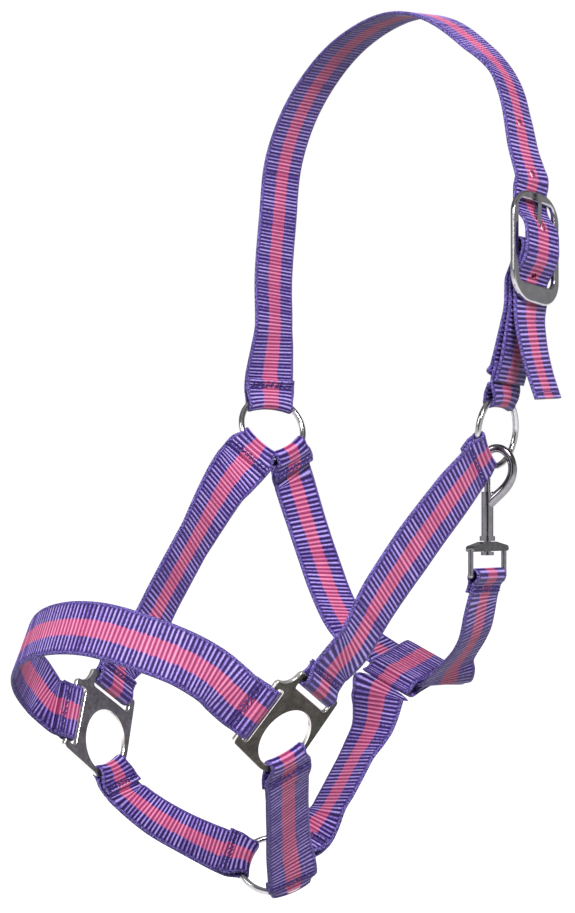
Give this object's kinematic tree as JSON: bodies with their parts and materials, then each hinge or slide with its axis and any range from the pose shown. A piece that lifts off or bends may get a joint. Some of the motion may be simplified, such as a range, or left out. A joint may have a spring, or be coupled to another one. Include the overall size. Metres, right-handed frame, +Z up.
{
  "type": "webbing halter",
  "caption": "Horse halter of striped ribbed webbing on metal rings and stamped plates, with a tongue buckle at the cheek and a snap hook at the throat.",
  "frame": {"origin": "underside of the crown strap at its top, where it rests on the poll", "axes": "+Z up, -Y towards the nose, +X the near (left) side with the buckle and the snap hook"},
  "size_m": [0.2171, 0.2904, 0.4863],
  "materials": {
    "webbing": "ribbed nylon, purple with a pink centre stripe",
    "thread": "twisted nylon thread",
    "nickel": "polished nickel plate",
    "plate": "dark flat face, bright thin edges",
    "spring_steel": "plain wire"
  },
  "bodies": {
    "halter": {"crown_strap": "webbing", "buckle_strap": "webbing", "off_cheek_strap": "webbing", "near_cheek_strap": "webbing", "noseband": "webbing", "off_chin_strap": "webbing", "near_chin_strap": "webbing", "jowl_strap": "webbing", "throat_strap": "webbing", "crown_stitches": "thread", "cheek_stitches": "thread", "nose_stitches": "thread", "chin_stitches": "thread", "throat_stitches": "thread", "jowl_stitches": "thread", "off_plate": "plate", "near_plate": "plate", "buckle_frame": "nickel"},
    "off_side_ring": {"off_ring": "nickel"},
    "near_side_ring": {"near_ring": "nickel"},
    "lead_ring": {"chin_ring": "nickel"},
    "tongue": {"buckle_tongue": "nickel"},
    "eye": {"snap_eye": "nickel"},
    "hook": {"snap_hook": "nickel", "snap_spring": "spring_steel"},
    "bolt": {"snap_bolt": "nickel"}
  },
  "joints": [
    {"name": "off_ring_turn", "type": "hinge", "parent": "halter", "child": "off_side_ring", "pos_m": [-0.0862, -0.02, -0.2288], "axis": [-0.861, 0.3003, -0.4105], "continuous": true},
    {"name": "near_ring_turn", "type": "hinge", "parent": "halter", "child": "near_side_ring", "pos_m": [0.0855, -0.02, -0.2315], "axis": [0.9795, 0.1735, -0.102], "continuous": true},
    {"name": "lead_ring_turn", "type": "hinge", "parent": "halter", "child": "lead_ring", "pos_m": [0, -0.1035, -0.465], "axis": [-0.4965, 0.4965, -0.7121], "continuous": true},
    {"name": "tongue_lift", "type": "hinge", "parent": "halter", "child": "tongue", "pos_m": [0.10101, -0.0081, -0.13311], "axis": [-0.0817, 0.9867, -0.1403], "range_deg": [0, 4]},
    {"name": "eye_tilt", "type": "hinge", "parent": "halter", "child": "eye", "pos_m": [0.0763, -0.0175, -0.309], "axis": [-0.1903, 0.9817, 0], "range_deg": [0, 1.5]},
    {"name": "snap_swivel", "type": "hinge", "parent": "eye", "child": "hook", "pos_m": [0.0763, -0.0175, -0.288], "axis": [0, 0, 1], "range_deg": [-15, 0]},
    {"name": "bolt_slide", "type": "slide", "parent": "hook", "child": "bolt", "axis": [0, 0, 1], "range_m": [-0.009, 0], "stiffness_N_per_m": 300, "springref_m": 0.004, "deforming": ["snap_spring"]}
  ]
}
